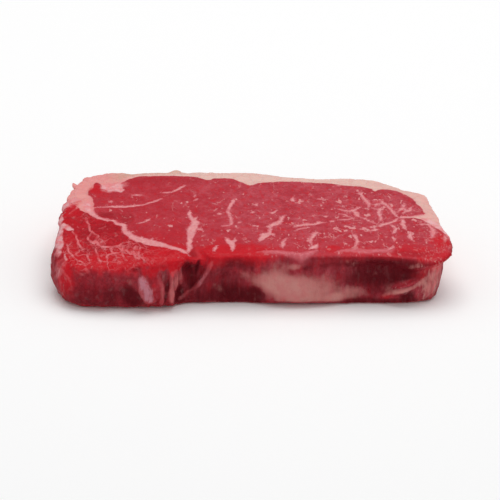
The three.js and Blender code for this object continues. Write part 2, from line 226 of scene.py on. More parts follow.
# Wet threads of skin between the bundles of the wide end's soft lobe.
WEB = {
    "edge thread": [(-80, -16, 0.6), (-78, -20, 0.6), (-78, -26, 0.6), (-76, -29, 0.6)],
    "loop": [
        (-72.5, -9, 0.5), (-72.8, -13, 0.6), (-71, -17, 0.6), (-69, -20, 0.6), (-70, -24, 0.8),
        (-71, -25, 0.9), (-73, -23, 0.6), (-72.5, -19, 0.5), (-71.5, -15, 0.5)],
    "long thread": [
        (-69, -25, 0.7), (-68, -28.5, 1), (-64, -28.5, 0.8), (-59.5, -28, 0.7), (-58, -26, 0.6),
        (-55, -26, 0.6)],
    "tick": [(-68, -13, 0.5), (-66.5, -12, 0.7), (-65, -10.5, 0.4)],
    "upper thread": [(-73.5, -2, 0.6), (-73.5, -7, 0.6), (-72.5, -9, 0.5)],
    "worm 1": [(-58, -30, 0.6), (-58.5, -35, 0.6), (-57, -40, 0.6)],
    "worm 2": [(-53, -30, 0.6), (-53.5, -35, 0.6), (-52, -40, 0.6)],
    "worm 3": [(-62, -34, 0.6), (-65, -36, 0.6), (-65.5, -41, 0.6)],
    "worm 4": [(-50.5, -31, 0.6), (-51.5, -37, 0.6), (-49, -42, 0.6)],
    "worm 5": [(-74, -32, 0.5), (-73.5, -38, 0.6)],
    "worm 6": [(-70, -30, 0.5), (-69, -36, 0.6), (-68.5, -40, 0.6)],
    "worm 7": [(-83, -26, 0.5), (-82.5, -30, 0.6), (-81, -33, 0.6), (-79, -37, 0.5)],
    "small loop": [(-63, -30, 0.5), (-62.5, -33, 0.6), (-60, -34, 0.6), (-58.6, -32, 0.5), (-60, -30, 0.5)],
    "second loop": [(-55.5, -28.5, 0.5), (-56.5, -32, 0.6), (-55, -35.5, 0.6), (-52.6, -35, 0.5)],
    "red corner thread": [(-81, 2, 0.5), (-78, 6, 0.6), (-77, 10, 0.5)],
    "red corner thread 2": [(-83.5, 8, 0.5), (-80, 11, 0.6), (-78.5, 14, 0.4)],
}

# The wet edge over the front, along x: how bright it is, the height of its foot, and how ragged it is.
EDGE_BRIGHT = [
    (-60, 0.8), (-34, 0.9), (-22, 1), (0, 1), (6, 0.6), (14, 0.4), (28, 0.3), (34, 0.6), (38, 0.55),
    (62, 0.55), (68, 0.7)]
EDGE_FOOT = [
    (-90, 17), (-60, 18.5), (-34, 18.5), (-20, 18.5), (2, 19.5), (8, 22), (40, 21.5), (80, 21), (90, 19)]
EDGE_RAGS = [(-56, 1), (-48, 2.2), (-34, 2.2), (-28, 1)]

# ---------- places on the front side ----------
# Strands, folds and flaps that stand proud of the front: x, z, how far out, and radius.
STRANDS = {
    "hanging strand": [
        (-36.9, 17.5, -0.6, 0.8), (-37.2, 13, 0.5, 1.3), (-36.9, 9, 0.9, 1.5), (-36.4, 5, 0.8, 1.4),
        (-36, 1.5, 0, 1.1)],
    "broad strand, left": [
        (-35, 18, -0.6, 0.8), (-34.6, 14.5, 0.4, 1.3), (-34.9, 11, 0.2, 1.1), (-35, 8, -0.6, 0.6)],
    "broad strand, right": [
        (-33.2, 18, -0.6, 0.8), (-32.6, 14.5, 0.5, 1.3), (-32.2, 11.5, 0.2, 1.1), (-32, 9.5, -0.6, 0.6)],
    "bent strand": [
        (-43, 17, -0.5, 0.7), (-42.2, 14.6, 0.4, 1), (-40.9, 11.6, 0.7, 1), (-40.6, 8, 0.7, 1),
        (-41, 4, 0.5, 1), (-41.2, 1, -0.2, 0.9)],
    "tab, left": [
        (-51.6, 15.6, -0.8, 0.8), (-50.7, 11.8, 0.3, 1.2), (-49.3, 7.8, 0.5, 1.2), (-47.2, 4.2, 0.2, 0.9)],
    "tab, middle": [
        (-50.4, 16.4, -0.8, 0.9), (-49.2, 12.4, 0.8, 1.4), (-47.4, 8.2, 1, 1.5), (-45.4, 4.2, 0.5, 1.2)],
    "tab, right": [
        (-49.2, 15.2, -0.6, 0.8), (-47.6, 12, 0.4, 1.1), (-45.8, 8.4, 0.5, 1.2), (-44.2, 5, 0.2, 0.9)],
    "membrane": [
        (-19.2, 21.5, -0.7, 0.7), (-20.6, 18, 0, 1), (-21.8, 14.6, 0.3, 1.1), (-23.4, 11, 0.4, 1.1),
        (-25.4, 8.2, 0.4, 1), (-28, 6.1, 0.3, 0.9), (-30.4, 4.5, 0.1, 0.8), (-32.6, 3.2, -0.5, 0.7)],
    "corner fibre 1": [(80.2, 18.4, -1.2, 0.8), (79.4, 14, -0.2, 1), (78, 9, 0, 1.1), (77, 3.4, -0.3, 0.9)],
    "corner fibre 2": [
        (82.6, 17.4, -1.2, 0.8), (81.8, 13, -0.3, 0.9), (80.4, 8, -0.1, 1), (79.4, 3, -0.4, 0.8)],
    "corner thread": [
        (-83, 20.6, -0.4, 0.6), (-81, 19.2, 0.2, 0.8), (-78.4, 17.8, 0.2, 0.8), (-76, 16.6, -0.5, 0.6)],
    "corner thread 2": [
        (-85.6, 16, -0.5, 0.6), (-83.2, 14, 0.1, 0.8), (-81.6, 11.6, 0, 0.7), (-81, 9.4, -0.5, 0.5)],
}

# Lumps of the lean on the front, in the same four values.
LUMPS = {
    "fold": [
        (56, 2.5, -1.2, 1.2), (60, 5.4, -0.4, 1.6), (65, 8.1, 0, 1.9), (70, 9.6, 0, 2),
        (74, 11.4, -0.2, 1.8), (76.6, 14.4, -0.8, 1.4), (77.6, 17, -1.4, 1)],
    "shelf": [(67.6, 18, -1.2, 0.9), (70, 19, -0.7, 1.2), (73, 19.6, -0.6, 1.2), (75.6, 19.2, -1, 1)],
    "strut under the fold": [
        (69.8, 8.6, -0.6, 0.9), (71.2, 6, 0.1, 1.1), (72.8, 3, 0, 1), (73.6, 1.2, -0.4, 0.8)],
    "lump by the tab": [(-46.6, 15, -0.4, 1.4), (-44.6, 11.5, 0, 1.6), (-43.6, 8, -0.3, 1.2)],
    "salmon bump": [(-60, 15, -0.8, 1.6), (-57, 15, 0.1, 2), (-54.6, 13.4, -0.4, 1.5)],
    "bead": [(15.8, 20, -1.1, 1.5), (17.8, 20.3, -0.9, 1.8), (19.4, 20, -1.1, 1.5)],
    "edge nub 1": [(-22.6, 22.8, -0.9, 1.3), (-19.6, 22.2, -0.2, 1.7), (-16.4, 22.6, -0.8, 1.3)],
    "edge nub 2": [(-37, 22.4, -1, 1.2), (-33.6, 21.6, -0.3, 1.6), (-30.2, 22.4, -0.9, 1.3)],
    "edge nub 3": [(24.6, 23, -0.9, 1.1), (27, 22.6, -0.2, 1.5), (29.4, 22.9, -0.9, 1.1)],
    "drip 1": [(-43.6, 21.6, -0.9, 1), (-43, 18, -0.1, 1.2), (-42.6, 14.8, -0.6, 0.9)],
    "drip 2": [(-39, 21.4, -0.9, 1), (-38.6, 17.6, -0.2, 1.1), (-38.4, 14.6, -0.7, 0.8)],
    "drip 3": [(-1.4, 21.6, -1, 1.2), (0.4, 18, -0.2, 1.4), (1.6, 14.4, -0.7, 1.1)],
}

# Loose shreds of the fat and the lean along the outline: x, y, z and radius.
SHREDS = {
    "hook": [
        (-75.8, 33.4, 22.4, 2), (-77.4, 34, 22.8, 1.5), (-78.3, 34.9, 23.2, 1.2), (-77.9, 36, 23.4, 0.9)],
    "corner nub 1": [(-79.6, 24.6, 21.6, 1.6), (-79.9, 22, 21.9, 2.1), (-80.4, 19.2, 21.6, 1.6)],
    "corner nub 2": [(-81.8, 16.2, 21.4, 1.6), (-82.1, 13.4, 21.7, 2.2), (-82.9, 10.6, 21.4, 1.6)],
    "corner nub 3": [(-77.6, 30, 21.8, 1.6), (-78.3, 27.8, 22.1, 2), (-79.1, 26, 21.8, 1.4)],
    "hook foot": [(-75.6, 30.4, 21.8, 2), (-77.4, 30.6, 22.2, 1.2), (-78.4, 29.6, 22.4, 0.7)],
    "corner flap": [(-70, 41, 22.4, 2.6), (-72.2, 42, 22.6, 1.8), (-73.4, 41.4, 22.6, 1.1)],
    "corner ridge": [
        (-71.4, 41.4, 21.8, 1.8), (-67.5, 43.4, 22.1, 2.2), (-62, 44.6, 22.4, 2.2), (-56, 45.6, 22.5, 1.9),
        (-50, 46.6, 22, 1.4)],
    "cap shred": [(-33, 46.2, 23.4, 1.5), (-30.4, 47.2, 24, 1.2), (-28, 46.8, 24, 0.8)],
    "wide end shred": [(-83.5, 6, 21.2, 1.8), (-84.6, 1, 21.6, 1.5), (-85.2, -3, 21.2, 1)],
}

# Soft patches of the front: x, z, half widths, lean along x for each millimetre up, and strength.
PATCHES = {
    # Hollows of the front: pressed in a little, with painted shade in them.
    "deep": [
        (-70, 6, 17, 8, 0, 0.58), (-54.6, 7, 4.6, 5.4, -0.3, 0.95), (-53.6, 20, 3.6, 1.6, 0, 0.6),
        (-39.1, 9, 0.9, 7, 0.1, 0.75), (-33.4, 5, 2.6, 4.2, 0, 0.9), (-30.2, 18, 3, 3.8, 0, 0.8),
        (-28.6, 11, 2.6, 6, 0, 0.55), (-25.2, 18, 0.9, 5, 0.12, 1), (-14, 12, 12, 11, -0.2, 0.44),
        (-13, 3, 18, 5.4, 0, 0.76), (0, 4.2, 4.2, 4.2, 0, 0.9), (-43.4, 21, 7, 1.6, 0, 0.4),
        (57, 14, 17, 8, 0.4, 0.85), (62, 17.5, 11, 4.5, 0, 0.7), (68.4, 5, 3.4, 3.2, 0.2, 0.95),
        (56, 1.5, 24, 2, 0, 0.7), (50, 20, 22, 2.6, 0, 0.5), (-6, 20, 9, 3.2, 0, 0.55),
        (23, 18.6, 3, 1.4, 0, 0.5), (31.5, 18.5, 2.4, 2.4, 0, 0.4)],
    "pale": [
        (12, 10.9, 12, 6.1, -0.5, 1), (27, 9.4, 12, 6.2, 0, 0.7), (9, 18.5, 5, 3.2, 0.2, 0.22),
        (-4.5, 13.5, 5, 4.6, 0, 0.27), (14, 20, 11, 3, 0, 0.18), (64, 8.6, 5, 2.4, 0.6, 0.55),
        (71.4, 18.9, 4.2, 1.8, 0.3, 0.4), (35.5, 4.3, 3.6, 2.1, 0, 1), (43, 5.2, 8, 3, 0, 0.55),
        (79.5, 10, 5.4, 9.6, 0.3, 0.65), (-36.8, 9.5, 1.6, 7, 0.04, 0.45), (-33.6, 13.6, 1.9, 3.6, 0, 0.4),
        (17.4, 19.8, 2.4, 1.8, 0, 0.6), (-57, 14.8, 4, 2.6, 0, 0.22), (-40.9, 9, 1, 7, 0, 0.5),
        (69, 9.2, 3.6, 4.6, 2.4, 0.6), (22, 4, 14, 2.6, 0, 0.6), (-16.4, 8, 2.2, 3.4, -0.6, 0.4)],
    "film": [
        (-48, 10.2, 2.9, 6.6, -0.46, 1), (-40, 16, 2.2, 2.8, 0, 0.35), (-23, 12, 1.4, 6, 0.5, 0.45),
        (-86.5, 12, 2.4, 5, 0, 0.4)],
    "fresh": [
        (-43.8, 12, 3, 5, 0, 0.45), (73.5, 14.2, 4.6, 3.4, 0.2, 0.7), (1.2, 18, 1.7, 4.6, 0.2, 0.5),
        (83, 18, 6, 4.4, 0, 0.8), (-84, 12, 4.4, 10, 0, 0.8), (-74, 12, 9, 6, 0, 0.35),
        (60, 4.4, 4, 2.2, 0.4, 0.6), (-30, 4.6, 2.4, 2, 0, 0.35), (-36, 22, 9, 2.4, 0, 0.6)],
}

# Soft spots of the whole surface: x, y, z, half widths along each, and strength.
SPOTS = {
    "skin": [
        (-61.6, 29.6, 25, 4.6, 6, 7, 0.95), (-57.4, 26.6, 25, 2, 2.4, 6, 0.9),
        (-55.8, 32.6, 25, 3.2, 3.2, 6, 0.6), (-82.4, 11.6, 24, 3.6, 5, 5, 0.8),
        (-72.6, 8.6, 24, 2.4, 6.4, 8, 0.9), (-78.6, 16.6, 24, 3.4, 3.4, 5, 0.6),
        (-88.6, -14, 22, 2.6, 10, 4.2, 0.6), (-86, -36, 16, 4, 4, 7, 0.4), (83, -11, 24, 2.4, 6, 5, 0.35),
        (89, -21, 22, 2.2, 7, 4, 0.35), (-66.4, -3.4, 25, 2.4, 1.6, 3, 0.5),
        (82, -19, 25, 1.6, 3.4, 3, 0.6), (86.6, -24, 24.6, 1.2, 3.6, 3, 0.6),
        (79, -26, 25, 2.4, 1.2, 3, 0.5), (88, -16, 10, 4, 4.4, 9, 0.5), (84, -27, 9, 4, 3, 9, 0.4),
        (-88, -2, 9, 4, 3.6, 8, 0.4), (-87, -30, 8, 4, 3, 7, 0.3)],
    "rich": [
        (-18, -36, 22.6, 9, 6.4, 4.6, 1), (-3, -36, 22.8, 9, 6.4, 4.4, 1), (-13, -27, 25, 5, 4, 3, 0.5),
        (13.6, -17.6, 25, 2.6, 2.2, 3, 0.7), (35, -35, 24, 2.6, 2.6, 3, 0.8), (84, -26, 23, 6, 6.4, 5, 0.7),
        (-80, -26, 24, 7, 10, 5, 0.6), (-68.6, 29, 25, 3.4, 6, 4, 0.8), (-66, 22, 25, 5, 6, 4, 0.5),
        (-38, -34, 23, 9, 5, 5, 0.8), (-60, -36, 24, 16, 6, 4.5, 0.7), (-33, -14, 25, 4, 12, 4, 0.4),
        (70, -33, 23.6, 8, 3.6, 3, 0.6), (86, -14, 24, 4.4, 7, 5, 0.45), (-81, 4, 24, 6, 8, 5, 0.6),
        (-81, -6, 24, 6, 6, 5, 0.5), (-42, -22, 25, 10, 6, 4, 0.4), (-80, 14.6, 24, 5, 5, 5, 0.7),
        (-73, 15, 25, 2.4, 4, 4, 0.35)],
    "shade": [
        (-81, -6, 24.6, 5, 5, 3.4, 0.2), (-63.6, -12.6, 24.6, 7, 6, 3.4, 0.45),
        (-63.6, 1, 25, 5.4, 2.8, 3, 0.85), (-55.6, -3.6, 25, 3.4, 5, 3, 0.6),
        (-74.6, -17, 24.6, 2.6, 4, 3, 0.4), (-27.4, -36.6, 22, 2.2, 3, 6, 0.8), (14, -8, 25, 2, 2, 3, 0.3),
        (-38, 36, 25, 22, 4, 3, 0.2), (66, -37.6, 22.4, 13, 2.6, 2.6, 0.55)],
}


# ---------- what a user would change ----------
def length(name, text, default):
    """A size in metres, from a value in millimetres."""
    return FloatProperty(name=name, description=text, default=default * MM, min=0, subtype="DISTANCE",
                         unit="LENGTH", precision=5)


def share(name, text, default):
    """A weight from 0 to 1."""
    return FloatProperty(name=name, description=text, default=default, min=0, max=1, subtype="FACTOR")


def power(name, text, default):
    """A light's power in watts."""
    return FloatProperty(name=name, description=text, default=default, min=0, unit="POWER")


def tint(name, text, *seen):
    """A colour given as the eye reads it: red, green and blue from 0 to 255."""
    linear = [((c / 255 + 0.055) / 1.055) ** 2.4 if c > 10.3 else c / 255 / 12.92 for c in seen]
    return FloatVectorProperty(name=name, description=text, default=linear, size=3, min=0, max=1,
                               subtype="COLOR")


class SteakForm(bpy.types.PropertyGroup):
    """Sizes of the steak's relief."""

    overhang_lift: length("Overhang lift", "How far the overhang of the narrow end is raised", 1.6)
    voxel: length("Skin step", "Width of the faces of the finished skin", 0.69)
    bundle_size: length("Bundle size", "Width of a bundle of fibres on a cut face", 2.2)
    bundle_depth: length("Bundle depth", "Height of the bundles of a cut face", 0.16)
    lobe_size: length("Lobe bundle size", "Width of the loose bundles of the wide end", 5.5)
    lobe_depth: length("Lobe bundle depth", "Height of the loose bundles of the wide end", 0.45)
    fibre_size: length("Fibre size", "Width of the fibres down the sides", 1.5)
    fibre_depth: length("Fibre depth", "Height of the fibres down the sides", 0.8)
    lump_size: length("Lump size", "Width of the lumps of the lean", 9)
    lump_depth: length("Lump depth", "Height of the lumps of the lean", 0.55)
    fat_size: length("Fat lobule size", "Width of the lobules of the fat cap", 5.5)
    fat_depth: length("Fat lobule depth", "Height of the lobules of the fat cap", 0.6)
    seam_depth: length("Seam depth", "How far the seams of fat lie below the lean", 0.14)
    cap_depth: length("Cap depth", "How far the cap lies below the lean beside it", 0.4)
    thread_height: length("Thread height", "How far the wet threads of the lobe stand up", 0.22)
    seed: IntProperty(name="Seed", description="Seed of the wobble of every line", default=2, min=0)


class SteakColour(bpy.types.PropertyGroup):
    """Colours and gloss of the steak."""

    # Both lean tints hold a painted sheen of the wet top, as a paler pink in place of gloss.
    lean: tint("Lean", "The cut lean", 175, 51, 63)
    lean_pale: tint("Pale lean", "Lean between the bundles", 195, 82, 93)
    fresh: tint("Fresh lean", "Wet bright lean of the edges", 204, 18, 32)
    rich: tint("Rich lean", "The redder lean of the wide end and its soft lobe", 182, 20, 34)
    # Painted shade: the dark red laid in the hollows, in the lobe's furrows and down the sides.
    deep: tint("Deep lean", "Dark lean of the hollows", 92, 14, 23)
    marbling: tint("Marbling", "Flecks of fat in the lean", 230, 158, 159)
    seam: tint("Seam", "Seams of fat between muscles", 212, 112, 121)
    cap: tint("Fat cap", "The cream fat of the cap", 229, 189, 178)
    salmon: tint("Salmon fat", "The pinker fat of the wide corner", 230, 150, 147)
    stain: tint("Stain", "The grey brown of the cap's outer edge", 199, 155, 135)
    pad: tint("Pad", "The pale pad of fat on the front", 204, 137, 131)
    film: tint("Silverskin", "The tough pale skin of the tab and the shelf", 200, 138, 152)
    thread: tint("Threads", "The wet threads of the soft lobe", 228, 114, 120)
    veil: tint("Pale skin", "The thin pale skin over the ends and the cap's foot", 234, 178, 182)
    gloss: share("Gloss", "Roughness of the wet lean", 0.38)
    wet: share("Wetness", "Weight of the film of juice", 0.08)


class StageLook(bpy.types.PropertyGroup):
    """The studio."""

    floor: tint("Floor", "The pale floor", 254, 254, 254)
    key: power("Key light", "Power of the overhead light", 13)
    back: power("Back light", "Power of the light behind", 0.3)
    fill: FloatProperty(name="Fill", description="Strength of the light from all round", default=0.62, min=0)


# ---------- nodes from Python ----------
def maths(operation, swapped=False):
    """A method of Socket that adds one Math node."""
    def method(self, *others):
        values = (*others, self) if swapped else (self, *others)
        return self.tree.node("ShaderNodeMath", {"operation": operation}, dict(enumerate(values)))
    return method


class Socket:
    """An output socket. Arithmetic on it adds Math nodes to its tree."""

    def __init__(self, tree, output):
        self.tree = tree
        self.output = output

    __add__ = __radd__ = maths("ADD")
    __sub__ = maths("SUBTRACT")
    __rsub__ = maths("SUBTRACT", swapped=True)
    __mul__ = __rmul__ = maths("MULTIPLY")
    __truediv__ = maths("DIVIDE")
    __rtruediv__ = maths("DIVIDE", swapped=True)
    __abs__ = maths("ABSOLUTE")
    most = maths("MAXIMUM")
    least = maths("MINIMUM")

    def clamped(self, low=0, high=1):
        return self.most(low).least(high)

    def step(self, low, high):
        """The same as smooth, in nodes."""
        settings = {"interpolation_type": "SMOOTHSTEP"}
        sockets = {"Value": self, "From Min": low, "From Max": high}
        return self.tree.node("ShaderNodeMapRange", settings, sockets)


class Tree:
    """A node tree that is written as expressions."""

    def __init__(self, nodes_of):
        self.tree = nodes_of

    def node(self, kind, settings=None, sockets=None, output=0):
        """Adds a node: its settings first, then its sockets, by name, place or identifier."""
        made = self.tree.nodes.new(kind)
        for key, value in (settings or {}).items():
            setattr(made, key, value)
        for key, value in (sockets or {}).items():
            socket = made.inputs[key]
            if isinstance(value, Socket):
                self.tree.links.new(value.output, socket)
            else:
                socket.default_value = value
        return Socket(self, made.outputs[output]) if output is not None else None

    def scaled(self, vector, factors):
        return self.node("ShaderNodeVectorMath", {"operation": "MULTIPLY"}, {0: vector, 1: factors})

    def moved(self, vector, offset):
        return self.node("ShaderNodeVectorMath", {"operation": "ADD"}, {0: vector, 1: offset})

    def bent(self, vector, scale, detail, reach):
        """The vector pushed about by noise, by up to reach."""
        return self.moved(vector, self.scaled(self.noise(vector, scale, detail, 0.5, "Color"), (reach,) * 3))

    def noise(self, vector, scale, detail, roughness=0.5, output="Fac"):
        """Noise from 0 to 1, mostly near the middle."""
        sockets = {"Vector": vector, "Scale": scale, "Detail": detail, "Roughness": roughness}
        return self.node("ShaderNodeTexNoise", {"noise_dimensions": "3D"}, sockets, output)

    def swing(self, vector, scale, detail, roughness=0.5):
        """Noise about nought."""
        return self.noise(vector, scale, detail, roughness) - 0.5

    def cells(self, vector, scale, feature, output="Distance"):
        settings = {"voronoi_dimensions": "3D", "feature": feature}
        return self.node("ShaderNodeTexVoronoi", settings, {"Vector": vector, "Scale": scale}, output)

    def blend(self, factor, low, high):
        """The colour low, going over to high as factor goes to 1."""
        a, b = [(*c, 1.0) if not isinstance(c, Socket) else c for c in (low, high)]
        return self.node("ShaderNodeMix", {"data_type": "RGBA"}, {0: factor, 6: a, 7: b}, 2)


# ---------- geometry helpers ----------
def smooth(low, high, value):
    """0 below low, 1 above high, smooth between. With low above high it falls instead."""
    t = np.clip((value - low) / (high - low), 0, 1)
    return t * t * (3 - 2 * t)


def along(x, stops):
    """The value at each x of a line drawn through the stops."""
    return np.interp(x, *zip(*stops))


def through(points):
    """A smooth line through the points, all of whose values are carried along."""
    points = np.asarray(points, float)
    padded = np.vstack([2 * points[0] - points[1], points, 2 * points[-1] - points[-2]])
    t = np.linspace(0, 1, LINE_STEPS, endpoint=False)[:, None]
    line = []
    for p0, p1, p2, p3 in zip(padded, padded[1:], padded[2:], padded[3:]):
        line.append(0.5 * (2 * p1 + (p2 - p0) * t + (2 * p0 - 5 * p1 + 4 * p2 - p3) * t ** 2
                           + (3 * p1 - p0 - 3 * p2 + p3) * t ** 3))
    return np.vstack(line + [points[-1:]])


def beside(place, a, b):
    """How far along from a to b each place lies, from 0 to 1, and the gap to it from there."""
    way = b[:2] - a[:2]
    t = np.clip((place - a[:2]) @ way / max(way @ way, 1e-9), 0, 1)
    return t, place - a[:2] - t[:, None] * way


def in_reach(place, line):
    """Which of the places the line may be near to."""
    low, high = line[:, :2].min(0) - FAR, line[:, :2].max(0) + FAR
    return np.flatnonzero(((place > low) & (place < high)).all(1))


def distance_to_lines(place, lines, taper=0):
    """Signed distance from each place in the plane to the nearest line's edge, negative inside it.

    The last taper millimetres of a line narrow to a third."""
    nearest = np.full(len(place), FAR)
    for points in lines:
        line = through(points)
        if taper:
            reach = np.append(0, np.cumsum(np.hypot(*np.diff(line[:, :2], axis=0).T)))
            to_end = np.minimum(reach, reach[-1] - reach)
            line[:, 2] *= 0.35 + 0.65 * smooth(0, min(taper, reach[-1] / 2), to_end)
        near = in_reach(place, line)
        here, best = place[near], nearest[near]
        for a, b in zip(line, line[1:]):
            t, gap = beside(here, a, b)
            best = np.minimum(best, np.hypot(*gap.T) - (a[2] + (b[2] - a[2]) * t))
        nearest[near] = best
    return nearest


def offset_from_lines(place, lines):
    """Distance to the nearest line's middle, and how far each place lies to its left, in half widths."""
    nearest, offset = np.full((2, len(place)), FAR)
    for points in lines:
        line = through(points)
        near = in_reach(place, line)
        here = place[near]
        for a, b in zip(line, line[1:]):
            t, gap = beside(here, a, b)
            way = b - a
            away = np.hypot(*gap.T)
            left = np.copysign(away, way[0] * gap[:, 1] - way[1] * gap[:, 0]) / (a[2] + way[2] * t)
            closer = away < nearest[near]
            nearest[near[closer]] = away[closer]
            offset[near[closer]] = left[closer]
    return nearest, offset


def distance_to_area(place, line, rest):
    """Signed distance from each place to the smoothed line, negative on the side that rest closes."""
    line = through(line)
    ring = np.vstack([line, np.asarray(rest, float)])
    inside = np.zeros(len(place), bool)
    for a, b in zip(ring, np.roll(ring, -1, 0)):
        crosses = (a[1] > place[:, 1]) != (b[1] > place[:, 1])
        rise = b[1] - a[1] if abs(b[1] - a[1]) > 1e-9 else 1e-9
        inside ^= crosses & (place[:, 0] < (b[0] - a[0]) * (place[:, 1] - a[1]) / rise + a[0])
    nearest = np.full(len(place), np.inf)
    for a, b in zip(line, line[1:]):
        nearest = np.minimum(nearest, np.hypot(*beside(place, a, b)[1].T))
    return np.where(inside, -nearest, nearest)


def wobble(kind, places, seed):
    """Small random offsets in three directions, in waves of one size."""
    size, reach = WOBBLES[kind]
    seed += list(WOBBLES).index(kind)
    start = Vector((seed * 13.7, seed * 5.1, seed * 9.3))
    return np.array([noise.noise_vector(Vector(p) / size + start) for p in places]) * reach


def patch_strength(x, z, patches):
    """How strongly any of the soft patches covers each place."""
    clear = np.ones(len(x))
    for cx, cz, across, along_z, lean, strength in patches:
        reach = np.hypot((x - cx - lean * (z - cz)) / across, (z - cz) / along_z)
        clear *= 1 - strength * smooth(1.55, 0.3, reach)
    return 1 - clear


def spot_strength(place, spots):
    """How strongly any of the soft spots covers each place in space."""
    clear = np.ones(len(place))
    for *centre, rx, ry, rz, strength in spots:
        reach = np.linalg.norm((place - centre) / (rx, ry, rz), axis=1)
        clear *= 1 - strength * smooth(1.5, 0.4, reach)
    return 1 - clear


def tube(points, flat):
    """Vertices and faces of a closed rounded strand along x, y, z and radius, thinned by flat along Y."""
    line = through(points)
    path, radii = line[:, :3], line[:, 3]
    ways = np.gradient(path, axis=0)
    ways /= np.linalg.norm(ways, axis=1)[:, None]
    across = np.cross(ways, (0.0, -1.0, 0.0))
    across /= np.linalg.norm(across, axis=1)[:, None]
    away = np.cross(across, ways)
    turn = np.linspace(0, 2 * math.pi, STRAND_SIDES, endpoint=False)
    rings = [p + r * (np.outer(np.cos(turn), a) + flat * np.outer(np.sin(turn), w))
             for p, r, a, w in zip(path, radii, across, away)]
    tips = [path[0] - ways[0] * radii[0] * 0.8, path[-1] + ways[-1] * radii[-1] * 0.8]
    vertices = np.vstack(rings + tips)
    first_tip, last_tip = len(vertices) - 2, len(vertices) - 1
    last_ring = first_tip - STRAND_SIDES
    corners_of_side = [(s, (s + 1) % STRAND_SIDES) for s in range(STRAND_SIDES)]
    faces = [(k + s, k + n, k + STRAND_SIDES + n, k + STRAND_SIDES + s)
             for k in range(0, last_ring, STRAND_SIDES) for s, n in corners_of_side]
    for s, n in corners_of_side:
        faces += [(first_tip, n, s), (last_tip, last_ring + s, last_ring + n)]
    return vertices, faces


def plain(obj):
    """Turns the object's modifiers into its mesh."""
    depsgraph = bpy.context.evaluated_depsgraph_get()
    mesh = bpy.data.meshes.new_from_object(obj.evaluated_get(depsgraph))
    old = obj.data
    obj.modifiers.clear()
    obj.data = mesh
    bpy.data.meshes.remove(old)
    mesh.name = obj.name


def add_object(name, data):
    obj = bpy.data.objects.new(name, data)
    bpy.context.scene.collection.objects.link(obj)
    return obj


def vectors(items, name):
    """A row of x, y and z for each item."""
    values = np.empty(len(items) * 3)
    items.foreach_get(name, values)
    return values.reshape(-1, 3)


def put_vertices(mesh, co):
    mesh.vertices.foreach_set("co", co.ravel())
    mesh.update()


def directions(mesh, rounds):
    """The vertex normals, evened out over the neighbours."""
    way = vectors(mesh.vertex_normals, "vector")
    ends = np.empty(len(mesh.edges) * 2, np.int32)
    mesh.edges.foreach_get("vertices", ends)
    a, b = ends.reshape(-1, 2).T
    for _ in range(rounds):
        total = way.copy()
        for axis in range(3):
            total[:, axis] += np.bincount(a, way[b, axis], len(way)) + np.bincount(b, way[a, axis], len(way))
        way = total / np.linalg.norm(total, axis=1)[:, None]
    return way


# ---------- the steak ----------
def merged_solid():
    """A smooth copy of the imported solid, with its loose triangles joined."""
    form = bmesh.new()
    form.from_mesh(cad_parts[SOLID].data)
    bmesh.ops.remove_doubles(form, verts=form.verts, dist=1e-6)
    mesh = bpy.data.meshes.new(PIECE)
    form.to_mesh(mesh)
    form.free()
    mesh.materials.clear()
    obj = add_object(PIECE, mesh)
    finer = obj.modifiers.new("Finer", "SUBSURF")
    finer.levels = finer.render_levels = 2
    plain(obj)
    return obj


def add_strands(obj):
    """Adds the strands, folds and shreds as closed forms that run into the body."""
    form = bmesh.new()
    form.from_mesh(obj.data)
    surface = BVHTree.FromBMesh(form)

    def on_front(x, z, out, radius):
        hit = surface.ray_cast(Vector((x, BEFORE_FRONT, z)) * MM, Vector((0, 1, 0)))[0]
        if hit is None:
            raise RuntimeError(f"no front surface at x {x}, z {z}")
        return (x, hit.y / MM - out, z, radius)

    on_side = [[on_front(*point) for point in line] for line in (STRANDS | LUMPS).values()]
    for points, flat in [(line, FLATNESS) for line in on_side] + [(line, 1) for line in SHREDS.values()]:
        vertices, faces = tube(points, flat)
        made = [form.verts.new(v * MM) for v in vertices]
        for face in faces:
            form.faces.new([made[i] for i in face])
    bmesh.ops.recalc_face_normals(form, faces=form.faces)
    form.to_mesh(obj.data)
    form.free()


def even_skin(obj, voxel):
    """One closed skin of small even faces over all of it."""
    skin = obj.modifiers.new("Skin", "REMESH")
    skin.mode = "VOXEL"
    skin.voxel_size = voxel
    soften = obj.modifiers.new("Soften", "SMOOTH")
    soften.factor = 0.5
    soften.iterations = 4
    plain(obj)


def raise_overhang(obj, form):
    """Lifts the underside of the overhanging corner of the narrow end."""
    co = vectors(obj.data.vertices, "co")
    x, y, z = co.T / MM
    corner = smooth(70, 80, x) * smooth(-8, -18, y)
    co[:, 2] += form.overhang_lift * corner * smooth(12, 17, z) * smooth(22, 17.5, z)
    put_vertices(obj.data, co)


